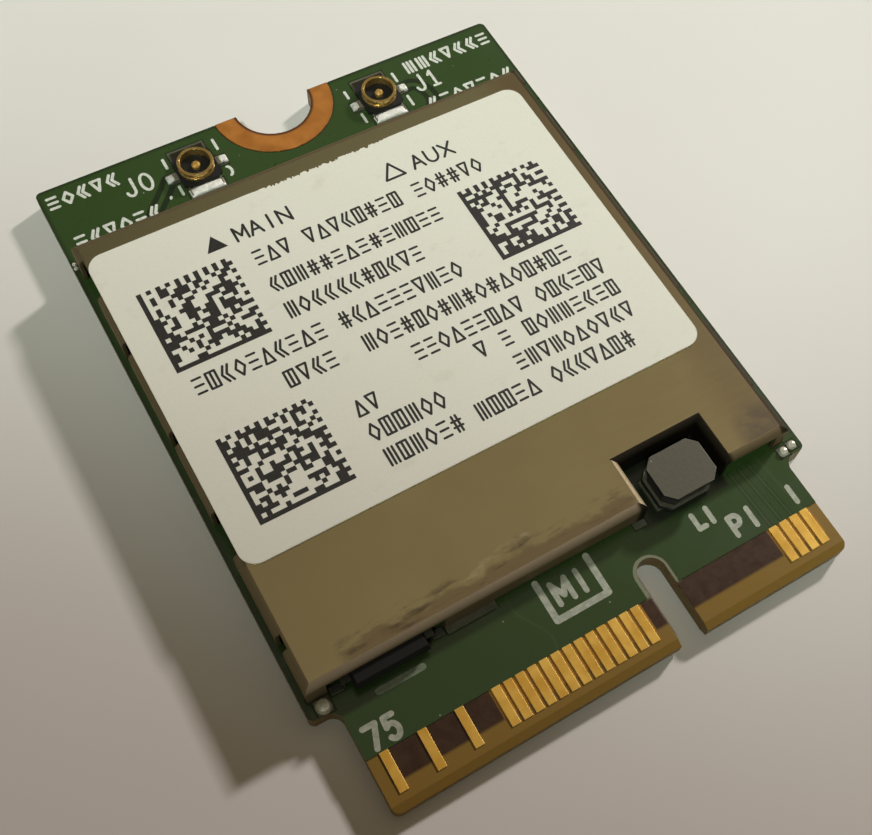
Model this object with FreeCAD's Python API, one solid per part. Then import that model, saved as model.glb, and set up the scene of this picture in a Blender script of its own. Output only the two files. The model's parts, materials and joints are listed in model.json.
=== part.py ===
import FreeCAD, Part
import math
import os

from FreeCAD import Vector

# Plug-in wireless card, 22 x 30 mm, with an edge connector at -Y and a half-round screw notch at +Y.
# Millimetres. X runs across the card with contact 1 at +X, Z points up through the shield.
# The origin is the middle of the card's underside.

# Bare board
board_length = 30.0
board_thickness = 0.8
board_corner_radius = 0.25
shoulder_width = 1.075
tongue_length = 4.25
tongue_side_margin = 0.5
tongue_root_radius = 0.5
tongue_corner_radius = 0.3
bevel_depth = 0.3
bevel_height = 0.14

# Edge contacts, numbered from +X with odd numbers on top and even numbers underneath
contact_pitch = 0.5
contact_width = 0.35
contact_length = 1.55
contact_tip_gap = 0.58
contact_count = 75
top_contacts = [*range(1, 8, 2), *range(33, 58, 2), 63, 69, 75]
bottom_contacts = [*range(2, 23, 2), *range(32, 75, 2)]
key_contact = 27.5
key_width = 1.2
key_depth = 3.5

# Screw notch on the far edge
screw_notch_radius = 1.75
screw_pad_radius = 2.75

# Films on the board
mask_thickness = 0.03
copper_thickness = 0.045
mask_gap = 0.05
key_mask_rim = 0.15
land_margin = 0.08

# Antenna sockets
socket_spacing = 8.9
socket_far_gap = 1.9
socket_base_size = 1.76
socket_base_height = 0.2
socket_base_chamfer = 0.22
ring_radius = 0.78
ring_wall = 0.12
ring_height = 0.56
ring_rim_height = 0.14
ring_neck_height = 0.12
ring_neck_depth = 0.05
tab_thickness = 0.08
ground_tab_width = 1.5
ground_tab_reach = 1.24
side_tab_width = 0.42
side_tab_reach = 1.2
pin_radius = 0.19
pin_height = 0.44
pin_flare = 0.08
tail_insulation = 0.1

# Folded shield can, placed by its distances from the board's edges and shoulders
shield_left_margin = 0.25
shield_right_margin = 0.7
shield_far_margin = 4.1
shield_shoulder_gap = 0.65
shield_height = 1.3
sheet = 0.15
bend_radius = 0.3
wall_lip = 0.3
narrow_gap = 0.6
wide_gap = 1.9
side_gaps_from_near = ((2.05, narrow_gap), (6.7, wide_gap))
side_gaps_from_far = ((1.85, wide_gap), (5.5, narrow_gap), (9.9, narrow_gap))
side_gap_depth = 0.2
far_gap_count = 3
near_wall_relief = 0.14
left_foot_width = 2.1
right_foot_width = 0.55
left_corner_foot = 0.78
right_corner_foot = 0.53
foot_land_reach = 0.28

# Solder beads at the shield's corners: how far the middle lies out from the corner's two edges, and the
# radius; the profile is in shares of the radius and the height
bead_profile = ((0, 0), (1, 0), (0.72, 0.74), (0, 1))
near_right_beads = ((-0.22, 0.38, 0.22), (0.26, 0.3, 0.2))
near_left_beads = ((-0.43, 0.36, 0.31),)
far_left_beads = ((0.12, -0.22, 0.1), (0.12, 0, 0.09))
bead_slope = 0.9

# Paper label, placed by its distances from the shield's edges
label_left_gap = 0.2
label_right_gap = 0.7
label_near_gap = 5.0
label_far_gap = 1.0
label_thickness = 0.08
label_radius = 0.7

# Power inductor in the shield's recess: drum core, coated winding and two end terminals
inductor_reach = 0.33
core_width = 2.45
core_depth = 2.0
core_height = 1.2
core_chamfer = 0.38
core_neck_radius = 0.5
flange_height = 0.25
coil_inset = 0.12
terminal_length = 0.55
terminal_thickness = 0.06
notch_left_gap = 0.73
notch_right_gap = 0.46
notch_far_gap = 0.38
right_tab_width = 3.1

# Memory chip that stands half out of the shield's near opening
chip_reach = 0.55
chip_size = 3.0
chip_height = 0.85
chip_standoff = 0.08
chip_draft = 0.1
lead_pitch = 0.65
leads_per_side = 4
lead_width = 0.25
lead_thickness = 0.12
lead_span = 4.5
lead_foot = 0.4
lead_exit = 0.42
opening_gap = 0.12

# Parts under the shield, stacked from its near wall: radio chip, resistors, front-end modules
radio_near_gap = 3.9
radio_size = 8.0
radio_height = 0.85
front_end_size = 3.0
front_end_height = 0.75
front_end_spacing = 10.4
crystal_length = 2.5
crystal_width = 2.0
crystal_base_height = 0.35
crystal_lid_height = 0.15
crystal_lid_inset = 0.15
block_length = 1.0
block_width = 0.5
block_terminal = 0.22
capacitor_height = 0.5
resistor_height = 0.35
block_pitch = 1.25
blocks_per_row = 6
package_gap = 0.7

tolerance = 1e-6
full_turn = 360

# Levels and edges worked out from the sizes above
middle_contact = (contact_count + 1) / 2
half_tongue = (middle_contact - 1) * contact_pitch / 2 + contact_width / 2 + tongue_side_margin
half_board = half_tongue + shoulder_width
near_edge = -board_length / 2
far_edge = board_length / 2
board_bottom = copper_thickness
board_top = board_bottom + board_thickness
mask_top = board_top + mask_thickness
land_top = board_top + copper_thickness
lid_top = board_top + shield_height
shoulder_y = near_edge + tongue_length
contact_tip_y = near_edge + contact_tip_gap
contact_end_y = contact_tip_y + contact_length
shield_left = shield_left_margin - half_board
shield_right = half_board - shield_right_margin
shield_near = shoulder_y + shield_shoulder_gap
shield_far = far_edge - shield_far_margin
notch_right = shield_right - right_tab_width
inductor_x = notch_right - notch_right_gap - core_width / 2
inductor_y = shield_near - inductor_reach + core_depth / 2
notch_left = inductor_x - core_width / 2 - notch_left_gap
notch_far = inductor_y + core_depth / 2 + notch_far_gap
opening_left = shield_left + left_corner_foot
chip_x = opening_left + opening_gap + lead_span / 2
opening_right = chip_x + lead_span / 2 + opening_gap
chip_y = shield_near - chip_reach + chip_size / 2
socket_y = far_edge - socket_far_gap
radio_x = (shield_left + shield_right) / 2
radio_y = shield_near + radio_near_gap + radio_size / 2


def contact_x(number):
    return (middle_contact - number) * contact_pitch / 2


def block(x0, y0, x1, y1, z0, z1):
    return Part.makeBox(x1 - x0, y1 - y0, z1 - z0, Vector(x0, y0, z0))


def centred_block(x, y, width, depth, z0, height):
    return block(x - width / 2, y - depth / 2, x + width / 2, y + depth / 2, z0, z0 + height)


def disc(x, y, radius, z0, height):
    return Part.makeCylinder(radius, height, Vector(x, y, z0))


# Closed wire through corners given as (x, y, radius), where a radius above zero becomes a tangent arc
def rounded_wire(corners, z):
    points = [Vector(x, y, z) for x, y, radius in corners]
    edges = []
    ends = []
    for index, (x, y, radius) in enumerate(corners):
        here = points[index]
        back = (points[index - 1] - here).normalize()
        ahead = (points[(index + 1) % len(points)] - here).normalize()
        if radius == 0:
            ends.append((here, here))
            continue
        half_angle = back.getAngle(ahead) / 2
        reach = radius / math.tan(half_angle)
        inward = (back + ahead).normalize()
        middle = here + inward * (radius / math.sin(half_angle) - radius)
        start = here + back * reach
        end = here + ahead * reach
        edges.append(Part.Arc(start, middle, end).toShape())
        ends.append((start, end))
    for index, (start, end) in enumerate(ends):
        following = ends[(index + 1) % len(ends)][0]
        if (following - end).Length > tolerance:
            edges.append(Part.LineSegment(end, following).toShape())
    return Part.Wire(Part.__sortEdges__(edges))


def plate(corners, z0, height):
    return Part.Face(rounded_wire(corners, z0)).extrude(Vector(0, 0, height))


def chamfered_square(x, y, width, depth, chamfer):
    right = width / 2
    back = depth / 2
    signs = ((1, -1), (1, 1), (-1, 1), (-1, -1))
    corners = []
    for index, (sx, sy) in enumerate(signs):
        along_y = (x + sx * right, y + sy * (back - chamfer), 0)
        along_x = (x + sx * (right - chamfer), y + sy * back, 0)
        corners += [along_x, along_y] if index % 2 == 0 else [along_y, along_x]
    return corners


# Board outline with the narrower tongue of the edge connector
def board_corners():
    right = [
        (half_tongue, near_edge, tongue_corner_radius),
        (half_tongue, shoulder_y, tongue_root_radius),
        (half_board, shoulder_y, board_corner_radius),
        (half_board, far_edge, board_corner_radius),
    ]
    left = [(-x, y, radius) for x, y, radius in reversed(right)]
    return right + left


# Slot with a full-radius end that keys the edge connector
def key_slot(widen, z0, height):
    x = contact_x(key_contact)
    radius = key_width / 2 + widen
    end_y = near_edge + key_depth - key_width / 2
    straight = block(x - radius, near_edge - radius, x + radius, end_y, z0, z0 + height)
    return straight.fuse(disc(x, end_y, radius, z0, height))


# Wedge that bevels one face of the tongue's end
def bevel_wedge(face_z, inward):
    corners = [
        Vector(-half_board, near_edge, face_z),
        Vector(-half_board, near_edge + bevel_depth, face_z),
        Vector(-half_board, near_edge, face_z + inward * bevel_height),
    ]
    return Part.Face(Part.makePolygon(corners + corners[:1])).extrude(Vector(2 * half_board, 0, 0))


def make_board():
    board = plate(board_corners(), board_bottom, board_thickness)
    board = board.cut(disc(0, far_edge, screw_notch_radius, board_bottom, board_thickness))
    board = board.cut(key_slot(0, board_bottom, board_thickness))
    return board.cut([bevel_wedge(board_top, -1), bevel_wedge(board_bottom, 1)])


# Solder mask over one face, open at the contacts, the screw pad, the key and the lands
def make_mask(z0, lands):
    mask = plate(board_corners(), z0, mask_thickness)
    openings = [
        block(-half_board, near_edge, half_board, contact_end_y, z0, z0 + mask_thickness),
        disc(0, far_edge, screw_pad_radius + mask_gap, z0, mask_thickness),
        key_slot(key_mask_rim, z0, mask_thickness),
    ]
    for x0, y0, x1, y1 in lands:
        grown = (x0 - mask_gap, y0 - mask_gap, x1 + mask_gap, y1 + mask_gap)
        openings.append(block(*grown, z0, z0 + mask_thickness))
    return mask.cut(openings)


# Half ring of bare copper round the screw notch
def make_screw_pad(z0):
    ring = disc(0, far_edge, screw_pad_radius, z0, copper_thickness)
    ring = ring.cut(disc(0, far_edge, screw_notch_radius, z0, copper_thickness))
    reach = screw_pad_radius
    return ring.common(block(-reach, far_edge - reach, reach, far_edge, z0, z0 + copper_thickness))


def make_contacts(numbers, z0):
    y = (contact_tip_y + contact_end_y) / 2
    pads = [centred_block(contact_x(n), y, contact_width, contact_length, z0, copper_thickness)
            for n in numbers]
    return Part.makeCompound(pads)


# Areas of tinned copper under the pieces that are soldered down in the open, as (x0, y0, x1, y1)
def grown_area(x, y, width, depth):
    half_width = width / 2 + land_margin
    half_depth = depth / 2 + land_margin
    return (x - half_width, y - half_depth, x + half_width, y + half_depth)


def socket_lands(x):
    tab_start = socket_base_size / 2
    ground_length = ground_tab_reach - tab_start
    ground_y = tab_start + ground_length / 2 + land_margin
    side_length = side_tab_reach - tab_start
    side_x = tab_start + side_length / 2 + land_margin
    lands = [grown_area(x, socket_y + side * ground_y, ground_tab_width, ground_length) for side in (-1, 1)]
    lands += [grown_area(x + side * side_x, socket_y, side_length, side_tab_width) for side in (-1, 1)]
    return lands


# Beads as (x, y, radius)
def bead_places():
    right = [(shield_right + out, shield_near - ahead, radius) for out, ahead, radius in near_right_beads]
    left = [(shield_left - out, shield_near - ahead, radius) for out, ahead, radius in near_left_beads]
    far = [(shield_left - out, shield_far + ahead, radius) for out, ahead, radius in far_left_beads]
    return right + left + far


# Two near feet, the four corners under the walls, then a square under each bead
def shield_lands():
    foot_near = shield_near - foot_land_reach
    foot_far = shield_near + sheet
    corner_far = shield_far - right_corner_foot
    lands = [
        (opening_right, foot_near, opening_right + left_foot_width, foot_far),
        (notch_left - right_foot_width, foot_near, notch_left, foot_far),
        (shield_left, shield_near, opening_left, foot_far),
        (shield_right - right_corner_foot, shield_near, shield_right, foot_far),
        (shield_left, corner_far, shield_left + sheet, shield_far),
        (shield_right - sheet, corner_far, shield_right, shield_far),
    ]
    return lands + [(x - radius, y - radius, x + radius, y + radius) for x, y, radius in bead_places()]


def lead_rows():
    first = chip_y - lead_pitch * (leads_per_side - 1) / 2
    return [first + lead_pitch * index for index in range(leads_per_side)]


def chip_lands():
    x = lead_span / 2 - lead_foot / 2
    return [grown_area(chip_x + side * x, y, lead_foot - land_margin, lead_width - land_margin)
            for side in (-1, 1) for y in lead_rows()]


def inductor_lands():
    x = core_width / 2 - terminal_length / 2
    depth = core_depth - 2 * core_chamfer
    return [grown_area(inductor_x + side * x, inductor_y, terminal_length, depth) for side in (-1, 1)]


def make_lands(lands):
    blocks = [block(x0, y0, x1, y1, board_top, land_top) for x0, y0, x1, y1 in lands]
    return blocks[0].fuse(blocks[1:]).removeSplitter()


# Antenna socket: a turned ring with stamped tabs, a centre pin with its tail, and a moulded base
def make_ring(x):
    top = land_top + ring_height
    rim_bottom = top - ring_rim_height
    neck_bottom = rim_bottom - ring_neck_height
    inner = ring_radius - ring_wall
    neck = ring_radius - ring_neck_depth
    profile = [
        (inner, land_top), (ring_radius, land_top), (ring_radius, neck_bottom), (neck, neck_bottom),
        (neck, rim_bottom), (ring_radius, rim_bottom), (ring_radius, top), (inner, top),
    ]
    points = [Vector(x + r, socket_y, z) for r, z in profile]
    face = Part.Face(Part.makePolygon(points + points[:1]))
    return face.revolve(Vector(x, socket_y, 0), Vector(0, 0, 1), full_turn)


def side_strip(x, side, inner, reach, width):
    near_x = x + side * inner
    far_x = x + side * reach
    half = width / 2
    return block(min(near_x, far_x), socket_y - half, max(near_x, far_x), socket_y + half,
                 land_top, land_top + tab_thickness)


def make_socket(x, tail_side):
    tabs = [
        side_strip(x, -tail_side, 0, side_tab_reach, side_tab_width),
        centred_block(x, socket_y, ground_tab_width, 2 * ground_tab_reach, land_top, tab_thickness),
    ]
    bore = disc(x, socket_y, ring_radius - ring_wall, land_top, ring_height)
    tail_room = side_strip(x, tail_side, 0, side_tab_reach, side_tab_width + 2 * tail_insulation)
    tail_room = tail_room.fuse(tail_room.translated(Vector(0, 0, tail_insulation)))
    shell = make_ring(x).fuse(tabs).cut([bore, tail_room]).removeSplitter()

    post_height = pin_height - pin_flare
    post = disc(x, socket_y, pin_radius, land_top, post_height)
    tip_start = Vector(x, socket_y, land_top + post_height)
    tip = Part.makeCone(pin_radius, pin_radius - pin_flare, pin_flare, tip_start)
    tail = side_strip(x, tail_side, 0, side_tab_reach, side_tab_width)
    pin = post.fuse([tip, tail]).removeSplitter()

    outline = chamfered_square(x, socket_y, socket_base_size, socket_base_size, socket_base_chamfer)
    base = plate(outline, land_top, socket_base_height).cut([shell, pin])
    return base, shell, pin


# Outline of the can, set in from its outer faces, with the recess that clears the inductor
def can_corners(inset):
    left = shield_left + inset
    right = shield_right - inset
    near = shield_near + inset
    far = shield_far - inset
    recess_left = notch_left - inset
    recess_right = notch_right + inset
    recess_far = notch_far + inset
    points = [
        (left, near), (recess_left, near), (recess_left, recess_far), (recess_right, recess_far),
        (recess_right, near), (right, near), (right, far), (left, far),
    ]
    return [(x, y, 0) for x, y in points]


# Solid under the can's outer or inner skin, with its top edges rounded as the sheet bends
def can_body(inset, top, radius):
    body = plate(can_corners(inset), land_top, top - land_top)
    rim = [edge for edge in body.Edges if min(vertex.Z for vertex in edge.Vertexes) > top - tolerance]
    return body.makeFillet(radius, rim)


# Cuts through the walls: the chip's opening, the right tab, the raised near edge, gaps in the other walls;
# the gaps in the side walls also cut through the bend
def wall_openings():
    top = lid_top - wall_lip
    near_inside = shield_near + sheet
    openings = [
        block(opening_left, shield_near, opening_right, near_inside, land_top, top),
        block(notch_right + sheet, shield_near, shield_right - right_corner_foot, near_inside, land_top, top),
        block(opening_right + left_foot_width, shield_near, notch_left - right_foot_width, near_inside,
              land_top, land_top + near_wall_relief),
    ]
    side_gaps = [(shield_near + place, width) for place, width in side_gaps_from_near]
    side_gaps += [(shield_far - place, width) for place, width in side_gaps_from_far]
    for y, width in side_gaps:
        for x in (shield_left, shield_right - side_gap_depth):
            openings.append(block(x, y - width / 2, x + side_gap_depth, y + width / 2, land_top, lid_top))
    spacing = (shield_right - shield_left) / (far_gap_count + 1)
    for index in range(far_gap_count):
        left = shield_left + spacing * (index + 1) - narrow_gap / 2
        openings.append(block(left, shield_far - sheet, left + narrow_gap, shield_far, land_top, top))
    return openings


def make_shield():
    can = can_body(0, lid_top, bend_radius).cut(can_body(sheet, lid_top - sheet, bend_radius - sheet))
    return can.cut(wall_openings())


# Solder bead turned from a profile with a steep foot and a rounded-off top
def solder_bead(x, y, radius):
    points = [Vector(x + radius * r, y, land_top + bead_slope * radius * z) for r, z in bead_profile]
    face = Part.Face(Part.makePolygon(points + points[:1]))
    return face.revolve(Vector(x, y, 0), Vector(0, 0, 1), full_turn)


def make_shield_solder():
    return Part.makeCompound([solder_bead(*place) for place in bead_places()])


def make_label():
    left = shield_left + label_left_gap
    right = shield_right - label_right_gap
    near = shield_near + label_near_gap
    far = shield_far - label_far_gap
    corners = [(left, near), (right, near), (right, far), (left, far)]
    return plate([(x, y, label_radius) for x, y in corners], lid_top, label_thickness)


def make_inductor():
    core_bottom = land_top + terminal_thickness
    core_top = core_bottom + core_height
    flange = chamfered_square(inductor_x, inductor_y, core_width, core_depth, core_chamfer)
    neck = disc(inductor_x, inductor_y, core_neck_radius, core_bottom, core_height)
    flanges = [plate(flange, z, flange_height) for z in (core_bottom, core_top - flange_height)]
    core = neck.fuse(flanges).removeSplitter()

    coil_outline = chamfered_square(inductor_x, inductor_y, core_width - 2 * coil_inset,
                                    core_depth - 2 * coil_inset, core_chamfer)
    coil_height = core_height - 2 * flange_height
    coil = plate(coil_outline, core_bottom + flange_height, coil_height)
    coil = coil.cut(disc(inductor_x, inductor_y, core_neck_radius, core_bottom + flange_height, coil_height))

    terminal_x = core_width / 2 - terminal_length / 2
    terminal_depth = core_depth - 2 * core_chamfer
    terminals = [centred_block(inductor_x + side * terminal_x, inductor_y, terminal_length, terminal_depth,
                               land_top, terminal_thickness) for side in (-1, 1)]
    return core, coil, Part.makeCompound(terminals)


def square_corners(x, y, size):
    half = size / 2
    return [(x + sx * half, y + sy * half, 0) for sx, sy in ((-1, -1), (1, -1), (1, 1), (-1, 1))]


# Gull-wing lead, drawn as a stepped strip from the chip's side down to its foot
def gull_lead(side, y):
    inner = chip_size / 2 - chip_draft
    outer = lead_span / 2
    foot_start = outer - lead_foot
    knee = foot_start - lead_thickness
    foot_top = land_top + lead_thickness
    shoulder = land_top + lead_exit
    shoulder_top = shoulder + lead_thickness
    profile = [
        (inner, shoulder), (knee, shoulder), (knee, land_top), (outer, land_top), (outer, foot_top),
        (foot_start, foot_top), (foot_start, shoulder_top), (inner, shoulder_top),
    ]
    points = [Vector(chip_x + side * x, y - lead_width / 2, z) for x, z in profile]
    return Part.Face(Part.makePolygon(points + points[:1])).extrude(Vector(0, lead_width, 0))


def make_memory_chip():
    bottom = land_top + chip_standoff
    waist = land_top + lead_exit + lead_thickness / 2
    top = land_top + chip_height
    narrow = chip_size - 2 * chip_draft
    wires = [rounded_wire(square_corners(chip_x, chip_y, size), z)
             for size, z in ((narrow, bottom), (chip_size, waist), (narrow, top))]
    body = Part.makeLoft(wires, True, True)
    leads = [gull_lead(side, y) for side in (-1, 1) for y in lead_rows()]
    return body.cut(leads), Part.makeCompound(leads)


def make_crystal():
    x = radio_x + radio_size / 2 + package_gap + crystal_width / 2
    base = centred_block(x, radio_y, crystal_width, crystal_length, mask_top, crystal_base_height)
    lid_width = crystal_width - 2 * crystal_lid_inset
    lid_length = crystal_length - 2 * crystal_lid_inset
    lid_z = mask_top + crystal_base_height
    return base, centred_block(x, radio_y, lid_width, lid_length, lid_z, crystal_lid_height)


# Row of two-ended ceramic blocks: bodies and their end terminals, as two groups
def block_row(places, height):
    bodies = []
    ends = []
    body_length = block_length - 2 * block_terminal
    end_reach = (block_length - block_terminal) / 2
    for x, y in places:
        bodies.append(centred_block(x, y, body_length, block_width, mask_top, height))
        for side in (-1, 1):
            ends.append(centred_block(x + side * end_reach, y, block_terminal, block_width, mask_top, height))
    return Part.makeCompound(bodies), Part.makeCompound(ends)


def radio_side_places():
    first = radio_y - block_pitch * (blocks_per_row - 1) / 2
    x = radio_x - radio_size / 2 - package_gap - block_length / 2
    return [(x, first + block_pitch * index) for index in range(blocks_per_row)]


def radio_far_places():
    first = radio_x - block_pitch * (blocks_per_row - 1) / 2
    y = radio_y + radio_size / 2 + package_gap + block_width / 2
    return [(first + block_pitch * index, y) for index in range(blocks_per_row)]


def front_end_y():
    return radio_y + radio_size / 2 + 2 * package_gap + block_width + front_end_size / 2


def build():
    main_x = -socket_spacing / 2
    aux_x = socket_spacing / 2
    lands = socket_lands(main_x) + socket_lands(aux_x) + shield_lands() + chip_lands() + inductor_lands()
    nodes = {
        "circuit_board": make_board(),
        "solder_mask_top": make_mask(board_top, lands),
        "solder_mask_bottom": make_mask(board_bottom - mask_thickness, []),
        "screw_pad_top": make_screw_pad(board_top),
        "screw_pad_bottom": make_screw_pad(board_bottom - copper_thickness),
        "edge_contacts_top": make_contacts(top_contacts, board_top),
        "edge_contacts_bottom": make_contacts(bottom_contacts, board_bottom - copper_thickness),
        "solder_lands": make_lands(lands),
        "shield_can": make_shield(),
        "shield_solder": make_shield_solder(),
        "label": make_label(),
    }
    for name, x, tail_side in (("main", main_x, -1), ("aux", aux_x, 1)):
        base, shell, pin = make_socket(x, tail_side)
        nodes[name + "_socket_base"] = base
        nodes[name + "_socket_shell"] = shell
        nodes[name + "_socket_pin"] = pin
        front_end_x = math.copysign(front_end_spacing / 2, x)
        nodes["front_end_" + name] = centred_block(front_end_x, front_end_y(), front_end_size, front_end_size,
                                                   mask_top, front_end_height)
    nodes["inductor_core"], nodes["inductor_coil"], nodes["inductor_terminals"] = make_inductor()
    nodes["memory_chip"], nodes["memory_chip_leads"] = make_memory_chip()
    nodes["radio_chip"] = centred_block(radio_x, radio_y, radio_size, radio_size, mask_top, radio_height)
    nodes["crystal_base"], nodes["crystal_lid"] = make_crystal()
    nodes["capacitor_bodies"], nodes["capacitor_terminals"] = block_row(radio_side_places(), capacitor_height)
    nodes["resistor_bodies"], nodes["resistor_terminals"] = block_row(radio_far_places(), resistor_height)
    return nodes


os.makedirs("parts", exist_ok=True)
for node_name, shape in build().items():
    shape.exportStep("parts/" + node_name + ".step")
    print(node_name, len(shape.Solids), round(shape.Volume, 4))
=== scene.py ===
import json
import math

import bpy
import numpy as np
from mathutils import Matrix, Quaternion, Vector


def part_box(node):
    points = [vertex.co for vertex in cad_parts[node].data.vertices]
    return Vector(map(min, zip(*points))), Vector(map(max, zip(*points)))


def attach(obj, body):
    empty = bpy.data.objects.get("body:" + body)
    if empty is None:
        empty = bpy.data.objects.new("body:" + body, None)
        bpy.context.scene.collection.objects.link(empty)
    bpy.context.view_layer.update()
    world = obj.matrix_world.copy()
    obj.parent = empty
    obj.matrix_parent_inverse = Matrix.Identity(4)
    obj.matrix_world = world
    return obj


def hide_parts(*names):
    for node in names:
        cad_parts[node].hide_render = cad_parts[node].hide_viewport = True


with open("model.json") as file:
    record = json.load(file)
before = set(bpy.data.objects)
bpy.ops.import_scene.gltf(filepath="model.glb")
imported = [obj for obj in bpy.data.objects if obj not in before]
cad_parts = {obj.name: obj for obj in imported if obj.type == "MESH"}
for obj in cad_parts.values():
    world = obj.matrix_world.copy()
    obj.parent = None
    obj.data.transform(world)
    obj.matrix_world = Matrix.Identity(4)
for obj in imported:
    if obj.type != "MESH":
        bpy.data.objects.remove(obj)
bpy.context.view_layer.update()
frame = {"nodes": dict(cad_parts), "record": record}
nodes = frame["nodes"]
mm = 0.001  # every size below is in millimetres, meshes are in metres


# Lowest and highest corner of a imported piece, in millimetres
def nodeBox(name):
    low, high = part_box(name)
    return np.array(low) / mm, np.array(high) / mm


boardLow, boardHigh = nodeBox("circuit_board")
labelLow, labelHigh = nodeBox("label")
maskTop = nodeBox("solder_mask_top")[1][2]
landTop = nodeBox("solder_lands")[1][2]
contactFar = nodeBox("edge_contacts_top")[1][1]
print("frame loaded:", len(nodes), "pieces")


# Colour as it looks on a screen, 0 to 255, turned into the linear values that shaders take
def paint(red, green, blue):
    shade = np.array((red, green, blue)) / 255
    linear = np.where(shade <= 0.04045, shade / 12.92, ((shade + 0.055) / 1.055) ** 2.4)
    return (*linear.tolist(), 1.0)


# New shader node; sockets among the inputs are linked, other values are set
def addNode(tree, kind, inputs=None, **settings):
    added = tree.nodes.new(kind)
    for key, value in settings.items():
        setattr(added, key, value)
    for key, value in (inputs or {}).items():
        if isinstance(value, bpy.types.NodeSocket):
            tree.links.new(value, added.inputs[key])
        else:
            added.inputs[key].default_value = value
    return added


def mathNode(tree, operation, first, second=0.0, clamp=False):
    inputs = {0: first, 1: second}
    return addNode(tree, "ShaderNodeMath", inputs, operation=operation, use_clamp=clamp).outputs[0]


def times(tree, first, second):
    return mathNode(tree, "MULTIPLY", first, second)


def vectorNode(tree, operation, inputs, output="Vector"):
    return addNode(tree, "ShaderNodeVectorMath", inputs, operation=operation).outputs[output]


# Smooth step of a value from low to high, put out as 0 to 1 or as another range
def ramp(tree, value, low, high, toLow=0.0, toHigh=1.0):
    inputs = {"Value": value, "From Min": low, "From Max": high, "To Min": toLow, "To Max": toHigh}
    return addNode(tree, "ShaderNodeMapRange", inputs, interpolation_type="SMOOTHSTEP").outputs[0]


# First colour carried toward the second by a share, which most scales down
def mixColour(tree, share, first, second, most=1.0):
    if most != 1.0:
        share = times(tree, share, most)
    # 0, 6, 7 and 2 are the places of the colour sockets on a Mix node
    return addNode(tree, "ShaderNodeMix", {0: share, 6: first, 7: second}, data_type="RGBA").outputs[2]


# Object coordinates in millimetres
def placeOf(tree):
    coordinate = addNode(tree, "ShaderNodeTexCoord").outputs["Object"]
    return vectorNode(tree, "SCALE", {0: coordinate, "Scale": 1 / mm})


# The three parts of a vector
def partsOf(tree, vector):
    return tuple(addNode(tree, "ShaderNodeSeparateXYZ", {0: vector}).outputs)


# The way a surface faces, in three parts
def facingOf(tree):
    return partsOf(tree, addNode(tree, "ShaderNodeNewGeometry").outputs["Normal"])


# How far a value is from a middle, on either side
def offFrom(tree, value, middle):
    return mathNode(tree, "ABSOLUTE", mathNode(tree, "SUBTRACT", value, middle))


# Distance from a point: the root of the summed squares of two offsets
def distanceTo(tree, parts, middle):
    squares = [mathNode(tree, "POWER", mathNode(tree, "SUBTRACT", part, at), 2.0)
               for part, at in zip(parts, middle)]
    return mathNode(tree, "SQRT", mathNode(tree, "ADD", *squares))


# 1 inside a rectangle given by its middle and half sizes, falling to 0 over a soft rim
def insideOf(tree, parts, middle, half, rim=0.25):
    return times(tree, *(ramp(tree, offFrom(tree, part, at), reach, reach - rim)
                         for part, at, reach in zip(parts, middle, half)))


# 1 over a stretch, given by where it starts, is full, fades and ends
def stretchOf(tree, value, start, fullFrom, fullTo, end):
    return times(tree, ramp(tree, value, end, fullTo), ramp(tree, value, start, fullFrom))


def noiseOf(tree, place, scale, detail, roughness=0.5):
    inputs = {"Vector": place, "Scale": scale, "Detail": detail, "Roughness": roughness}
    return addNode(tree, "ShaderNodeTexNoise", inputs).outputs["Fac"]


# Waves that follow each other along one axis
def waveOf(tree, place, axis, wave):
    return addNode(tree, "ShaderNodeTexWave", {"Vector": place, **wave}, bands_direction=axis).outputs["Fac"]


# Node group with a place and other inputs at their usual values, which puts out one value
def startGroup(name, usual, output):
    group = bpy.data.node_groups.new(name, "ShaderNodeTree")
    group.interface.new_socket("Place", in_out="INPUT", socket_type="NodeSocketVector")
    for label, value in usual.items():
        kind = "NodeSocketVector" if isinstance(value, tuple) else "NodeSocketFloat"
        group.interface.new_socket(label, in_out="INPUT", socket_type=kind).default_value = value
    group.interface.new_socket(output, in_out="OUTPUT", socket_type="NodeSocketFloat")
    return group, addNode(group, "NodeGroupInput").outputs, addNode(group, "NodeGroupOutput").inputs


def useGroup(tree, group, inputs):
    return addNode(tree, "ShaderNodeGroup", inputs, node_tree=group).outputs[0]


# What the shared effects have in every finish; a pair is where an effect starts and is full
effectLook = {"grainDetail": 4.0, "rubDetail": 3.0, "rubLean": (0.995, 0.85), "rubPatches": (0.3, 0.62),
              "rubSamples": 6, "smearDetail": 5.0, "smearRough": 0.62, "smearFade": 0.16,
              "dustChosen": 0.72, "dustUpward": (0.6, 0.9), "roundSamples": 4}


# Fine grain: noise at a scale per millimetre, with its contrast pulled up round the middle
def makeGrainGroup(look):
    group, given, result = startGroup("fineGrain", {"Scale": 8.0, "Contrast": 2.0}, "Grain")
    noise = noiseOf(group, given["Place"], given["Scale"], look["grainDetail"])
    pulled = times(group, mathNode(group, "SUBTRACT", noise, 0.5), given["Contrast"])
    group.links.new(mathNode(group, "ADD", pulled, 0.5, clamp=True), result["Grain"])
    return group


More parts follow.
